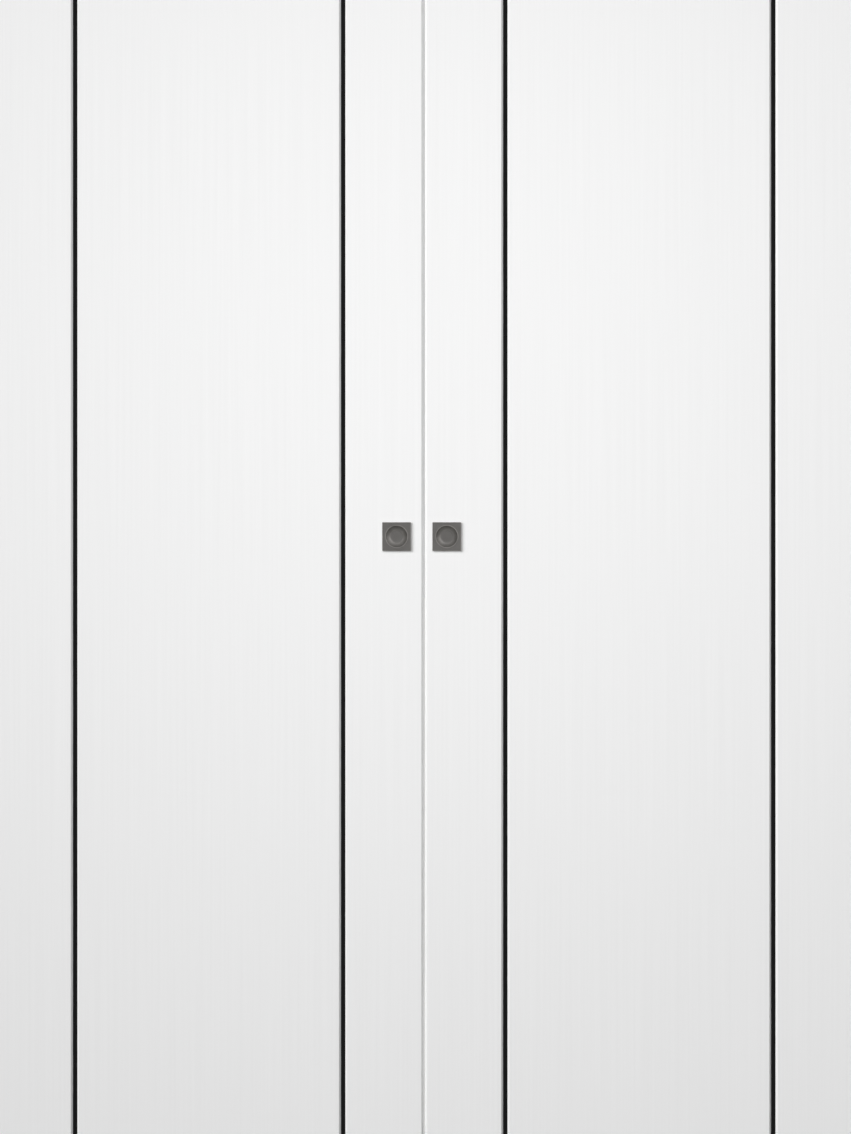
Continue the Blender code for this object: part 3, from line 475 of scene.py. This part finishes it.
def pull_mesh(name, half):
    """A pull on the leaf's face at height 0.

    Its rings run from the middle of the dish out to the plate's edge and round behind it.
    """
    front = pull_seat + pull_plate
    spokes = [atan2(y, x) for x, y, _ in square_ring(half, pull_corner, 0)]

    def circle(radius, height):
        return [(radius * cos(spoke), radius * sin(spoke), height) for spoke in spokes]

    fillet_rise = dish_fillet * (1 - cos(dish_slope))
    wall_run = dish_radius - dish_floor_radius - dish_fillet * sin(dish_slope)
    floor = front - fillet_rise - wall_run * tan(dish_slope)
    rings = [circle(share * dish_floor_radius, floor) for share in dish_floor_rings]
    for step in range(FILLET_STEPS + 1):
        turn = dish_slope * step / FILLET_STEPS
        radius = dish_floor_radius + dish_fillet * sin(turn)
        rings.append(circle(radius, floor + dish_fillet * (1 - cos(turn))))
    rings.append(circle(dish_radius, front))
    for step in range(1, BEAD_STEPS + 1):
        turn = pi * step / BEAD_STEPS
        radius = dish_radius + cup_wall / 2 * (1 - cos(turn))
        rings.append(circle(radius, front + bead_height * sin(turn)))
    rings.append(circle(dish_radius + cup_wall + flat_margin, front))
    rings.append(square_ring(half - pull_round - flat_margin, pull_corner, front))
    for step in range(ROUND_STEPS + 1):
        turn = pi / 2 * step / ROUND_STEPS
        inset = pull_round * (1 - sin(turn))
        rings.append(square_ring(half - inset, pull_corner, front - pull_round * (1 - cos(turn))))
    rings += [
        square_ring(half, pull_corner, pull_seat),
        circle(dish_radius + cup_wall, pull_seat),
        circle(dish_radius + cup_wall, floor - cup_wall),
    ]
    mesh = loft(name, rings)
    wall_foot = floor + fillet_rise / 2
    # paler plating on the edges, bead and dish wall: partly wear, partly a painted highlight
    wear_and_highlight = mesh.attributes.new("wear_and_highlight", "FLOAT", "POINT")
    for vertex, wear_highlight in zip(mesh.vertices, wear_and_highlight.data):
        x, y, z = vertex.co
        on_edge = max(abs(x), abs(y)) > half - pull_round and z > front - pull_round
        on_bead = z > front + bead_height / 2
        on_wall = hypot(x, y) < dish_radius + cup_wall / 4 and z > wall_foot
        if on_edge or on_bead:
            wear_highlight.value = edge_wear_highlight
        elif on_wall:
            wear_highlight.value = wall_wear_highlight
    return mesh


for hand in HANDS:
    for face in FACES:
        low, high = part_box(f"{hand}_{face}_pull")
        skin_low, skin_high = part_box(f"{hand}_{face}_skin")
        outward = -1 if face == "front" else 1
        surface = skin_low.y if face == "front" else skin_high.y
        middle = Vector(((low.x + high.x) / 2, surface, (low.z + high.z) / 2))
        mesh = pull_mesh(f"{hand}_{face}_finger_pull", (high.x - low.x) / 2)
        mesh.transform(Matrix.Translation(middle) @ Matrix.Rotation(-outward * pi / 2, 4, "X"))
        fit(mesh, gunmetal, f"{hand}_leaf", [f"{hand}_{face}_pull"])

# Hanger plates
# Two folded plates of zinc-plated steel are screwed to the top edge of each leaf, four countersunk
# screws in each, with a slot in the raised bridge for the hanging bolt.
plate_thickness = 3 * MM
plate_flange = 24 * MM
plate_screw_hole = 2.2 * MM
plate_screw_spacing = 14 * MM
plate_screw_length = 30 * MM
for hand in HANDS:
    for end in ENDS:
        plate = f"{hand}_{end}_hanger_plate"
        dress(steel, plate)
        low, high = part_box(plate)
        count = 0
        for x in (low.x + plate_flange / 2, high.x - plate_flange / 2):
            for y in (-plate_screw_spacing / 2, plate_screw_spacing / 2):
                count += 1
                seat = Vector((x, y, low.z + plate_thickness))
                countersunk_screw(f"{plate}_screw_{count}", seat, plate_screw_hole,
                                  plate_screw_length, f"{hand}_leaf")

# Hanging bolts
# A hexagon bolt of zinc-plated steel stands head down in each bridge, is locked there by a nut,
# and screws up into the carriage, so that the leaf can be levelled.
thread_pitch = 1.25 * MM
thread_depth = 0.55 * MM
THREAD_STEPS = 6  # rings in one turn of the thread
bolt_radius = 4 * MM
bolt_flats = 13 * MM
bolt_face_share = 0.96  # of the flats, the round face inside the turned corners
bolt_corner_slope = radians(30)
bolt_head = 5.3 * MM
lock_nut = 6.5 * MM
nut_lift = 0.3 * MM  # above the bridge
shank_lap = 0.2 * MM  # inside the head
HEX_AROUND = 72  # points round a hexagon


def hexagon_shell(base, height):
    """A hexagon head or nut with its corners turned off."""
    flat = bolt_flats / 2
    face = bolt_face_share * flat
    bottom, below, above, top = [], [], [], []
    for i in range(HEX_AROUND):
        turn = 2 * pi * i / HEX_AROUND
        reach = flat / cos((turn + pi / 6) % (pi / 3) - pi / 6)
        drop = (reach - face) * tan(bolt_corner_slope)
        bottom.append((face * sin(turn), face * cos(turn), base))
        below.append((reach * sin(turn), reach * cos(turn), base + drop))
        above.append((reach * sin(turn), reach * cos(turn), base + height - drop))
        top.append((face * sin(turn), face * cos(turn), base + height))
    return [bottom, below, above, top]


def thread_shell(base, top):
    """A shank with its thread cut as one helix."""
    rings = []
    for step in range(int((top - base) / thread_pitch * THREAD_STEPS) + 1):
        height = base + step * thread_pitch / THREAD_STEPS
        points = []
        for x, y, _ in ring(1.0, 0):
            turn = atan2(y, x) / (2 * pi)
            share = abs((height / thread_pitch - turn) % 1 * 2 - 1)
            radius = bolt_radius - thread_depth * share
            points.append((radius * x, radius * y, height))
        rings.append(points)
    return rings


for hand in HANDS:
    for end in ENDS:
        node = f"{hand}_{end}_hanging_bolt"
        low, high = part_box(node)
        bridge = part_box(f"{hand}_{end}_hanger_plate")[1].z
        head = hexagon_shell(0, bolt_head)
        nut = hexagon_shell(bridge + nut_lift - low.z, lock_nut)
        shank = thread_shell(bolt_head - shank_lap, high.z - low.z)
        mesh = loft(f"{hand}_{end}_levelling_bolt", head, nut, shank)
        mesh.transform(Matrix.Translation(((low.x + high.x) / 2, 0, low.z)))
        fit(mesh, steel, f"{hand}_leaf", [node])

# Carriages and wheels
# Each die-cast carriage has two axles. A pair of nylon wheels on small ball bearings turns on each
# axle and rolls on the lips of the track.
dress(die_cast_zinc, *(f"{hand}_{end}_carriage" for hand in HANDS for end in ENDS))
wheel_width = 7 * MM
wheel_round = 0.9 * MM
wheel_rim = 2.5 * MM
wheel_rim_slope = 0.4 * MM
wheel_dish = 1 * MM
axle_radius = 2.5 * MM
axle_end = 0.8 * MM  # beyond the wheels
axle_bevel = 0.5 * MM
axle_bevel_run = 0.4 * MM
bearing_radius = 5.2 * MM
bearing_play = 0.05 * MM
bearing_inset = 0.1 * MM  # of the races behind the wheel's own face
race_width = 0.7 * MM
race_slope = 0.1 * MM
shield_depth = 0.4 * MM


def wheel_shell(radius, inner, outer):
    """A nylon tyre with rounded edges, a dished side and a bore for its bearing, along Z."""
    rim = radius - wheel_rim
    side = 1 if outer > inner else -1
    dish = outer - side * wheel_dish
    rings = [
        ring(bearing_radius, inner),
        ring(radius - wheel_round, inner),
        ring(radius, inner + side * wheel_round),
    ]
    rings += rounded(radius, outer, wheel_round, side)
    rings += [ring(rim, outer), ring(rim - wheel_rim_slope, dish), ring(bearing_radius, dish)]
    return rings + rings[:1]


def axle_shell(half, inner, outer):
    """A steel axle with a bearing's races and shields where each wheel turns."""
    race = outer - wheel_dish - bearing_inset
    shield = race - shield_depth
    back = inner + bearing_inset
    one_end = [
        (axle_radius - axle_bevel, half),
        (axle_radius, half - axle_bevel_run),
        (axle_radius, race),
        (axle_radius + race_width, race),
        (axle_radius + race_width + race_slope, shield),
        (bearing_radius - race_width - race_slope, shield),
        (bearing_radius - race_width, race),
        (bearing_radius - bearing_play, race),
        (bearing_radius - bearing_play, back),
        (axle_radius, back),
    ]
    other_end = [(radius, -height) for radius, height in one_end[::-1]]
    return [ring(radius, height) for radius, height in one_end + other_end]


for hand in HANDS:
    for end in ENDS:
        for where in ("near", "far"):
            name = f"{hand}_{end}_{where}"
            low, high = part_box(f"{name}_wheelset")
            half = (high.y - low.y) / 2
            radius = (high.z - low.z) / 2
            outer = half - axle_end
            inner = outer - wheel_width
            pair = [wheel_shell(radius, side * inner, side * outer) for side in (1, -1)]
            tyres = loft(f"{name}_nylon_wheels", *pair)
            axle = loft(f"{name}_axle", axle_shell(half, inner, outer))
            for mesh in (tyres, axle):
                middle = (low + high) / 2
                mesh.transform(Matrix.Translation(middle) @ Matrix.Rotation(pi / 2, 4, "X"))
            fit(tyres, nylon, f"{name}_wheels", [f"{name}_wheelset"])
            fit(axle, steel, f"{name}_wheels")

# Floor guides
# A moulded nylon base is screwed to the floor under each jamb, and its upright fin keeps the
# bottom edge of the leaf in line.
guide_base = 3 * MM
guide_screw_hole = 2 * MM
guide_screw_spacing = 40 * MM
fin_thickness = 6.6 * MM
for hand in HANDS:
    guide = f"{hand}_floor_guide"
    dress(nylon, guide)
    low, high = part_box(guide)
    middle = (low.x + high.x) / 2
    across = (high.y - low.y + fin_thickness) / 4  # to the middle of the base beside the fin
    for count, sign in enumerate((-1, 1), 1):
        seat = Vector((middle + sign * guide_screw_spacing / 2, sign * across, guide_base))
        countersunk_screw(f"{guide}_screw_{count}", seat, guide_screw_hole,
                          screw_in_wall * guide_base, "track_and_guides")

# Floor, light and camera
# A plain pale studio floor under the door, a soft key light from the left, a soft light in front
# and the same from behind, and a long lens square to the leaves.
# Matt studio paint: an even pale grey with faint specks. Its glow lifts it as the camera and
# shiny surfaces see it, and sheds no light on the door.
floor_size = 200.0
floor_drop = 0.5 * MM  # keeps it clear of the guides' undersides
floor_speck = 30 * MM
floor_glow = 0.85
floor_glow_share = 0.7
pale_floor = new_finish("pale_studio_floor")
place = add(pale_floor, "TexCoord", {})["Object"]
specks = add(pale_floor, "TexNoise", {"Vector": place, "Scale": 1 / floor_speck, "Detail": 4.0})
tones = {"Fac": specks["Fac"], "Color1": linear("#D8D8D6"), "Color2": linear("#DEDEDC")}
tone = add(pale_floor, "MixRGB", tones)["Color"]
matt = {"Base Color": tone, "Roughness": 0.8, "Specular IOR Level": 0.2}
painted = add(pale_floor, "BsdfPrincipled", matt)["BSDF"]
glow = add(pale_floor, "Emission", {"Color": tone, "Strength": floor_glow})["Emission"]
path = add(pale_floor, "LightPath", {})
rays = {0: path["Is Camera Ray"], 1: path["Is Glossy Ray"]}
viewed = add(pale_floor, "Math", rays, operation="MAXIMUM")["Value"]
share = add(pale_floor, "Math", {0: viewed, 1: floor_glow_share}, operation="MULTIPLY")["Value"]
both = add(pale_floor, "MixShader", {"Fac": share, 1: painted, 2: glow})["Shader"]
add(pale_floor, "OutputMaterial", {"Surface": both})
bm = bmesh.new()
bmesh.ops.create_grid(bm, x_segments=1, y_segments=1, size=floor_size / 2)
floor_mesh = bpy.data.meshes.new("studio_floor")
bm.to_mesh(floor_mesh)
bm.free()
floor_mesh.materials.append(pale_floor)
floor = bpy.data.objects.new("studio_floor", floor_mesh)
floor.location.z = -floor_drop
floor.visible_diffuse = False
bpy.context.scene.collection.objects.link(floor)


def lamp(name, kind, place, target, power, size):
    """A light at a place, turned towards a target. No camera and no shiny surface sees it."""
    data = bpy.data.lights.new(name, kind)
    data.energy = power
    if kind == "SUN":
        data.angle = size
    else:
        data.shape = "DISK"
        data.size = size
    made = bpy.data.objects.new(name, data)
    made.location = place
    made.rotation_euler = (Vector(target) - Vector(place)).to_track_quat("-Z", "Y").to_euler()
    made.visible_camera = False
    made.visible_glossy = False
    bpy.context.scene.collection.objects.link(made)


key_turn = radians(39)  # to the side of straight in front
key_height = radians(18)
key_strength = 2.67
key_softness = radians(44)
fill_power = 20.9
fill_distance = 2.3
fill_height = 1.56
fill_size = 1.2
back_share = 0.9  # of the light in front
aim = Vector((0, 0, fill_height))
for name, side, share in (("front", -1, 1.0), ("back", 1, back_share)):
    reach = side * cos(key_height)
    sun = Vector((reach * sin(key_turn), reach * cos(key_turn), sin(key_height)))
    lamp(f"{name}_key", "SUN", sun, (0, 0, 0), share * key_strength, key_softness)
    stand = aim + Vector((0, side * fill_distance, 0))
    lamp(f"{name}_fill", "AREA", stand, aim, share * fill_power, fill_size)

ambient = 0.06
mirror_level = 0.585  # what a shiny surface sees straight ahead
mirror_slant = (0.36, 0.0, 0.26)  # how that changes to the right and upwards
mirror_sides = (0.55, 0.0, 0.0)  # and to both sides
world = bpy.data.worlds.new("pale_studio")
bpy.context.scene.world = world
world.use_nodes = True
world.node_tree.nodes.clear()
seen = add(world, "LightPath", {})
away = add(world, "TexCoord", {})["Generated"]
slant = add(world, "VectorMath", {0: away, 1: mirror_slant}, operation="DOT_PRODUCT")["Value"]
either = add(world, "VectorMath", {0: away}, operation="ABSOLUTE")["Vector"]
sides = add(world, "VectorMath", {0: either, 1: mirror_sides}, operation="DOT_PRODUCT")["Value"]
tilted = add(world, "Math", {0: slant, 1: mirror_level})["Value"]
level = add(world, "Math", {0: tilted, 1: sides})["Value"]
rays = {0: seen["Is Camera Ray"], 1: seen["Is Transmission Ray"]}
clear = add(world, "Math", rays, operation="MAXIMUM")["Value"]
dim = add(world, "Background", {"Color": linear("#FFFFFF"), "Strength": ambient})["Background"]
mirrored = add(world, "Background", {"Color": linear("#FFFFFF"), "Strength": level})["Background"]
pale = add(world, "Background", {"Color": linear("#BABABA"), "Strength": 1.0})["Background"]
unlit = add(world, "MixShader", {"Fac": seen["Is Glossy Ray"], 1: dim, 2: mirrored})["Shader"]
room = add(world, "MixShader", {"Fac": clear, 1: unlit, 2: pale})["Shader"]
add(world, "OutputWorld", {"Surface": room})

image_height = 1134
pixel = 1.775 * MM  # of the leaves' face, in the photograph
view_middle = (2.3 * MM, 1026 * MM)  # x and z at the middle of the photograph
lens = 100.0
sensor = 36.0
camera_data = bpy.data.cameras.new("camera")
camera_data.lens = lens
camera_data.sensor_width = sensor
camera_data.sensor_fit = "AUTO"  # its width lies along the picture's longer side
leaf_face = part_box("left_front_skin")[0].y
distance = image_height * pixel * lens / sensor
camera = bpy.data.objects.new("camera", camera_data)
camera.location = (view_middle[0], leaf_face - distance, view_middle[1])
camera.rotation_euler = (pi / 2, 0, 0)
bpy.context.scene.collection.objects.link(camera)
bpy.context.scene.camera = camera
bpy.context.scene.view_settings.view_transform = "Standard"
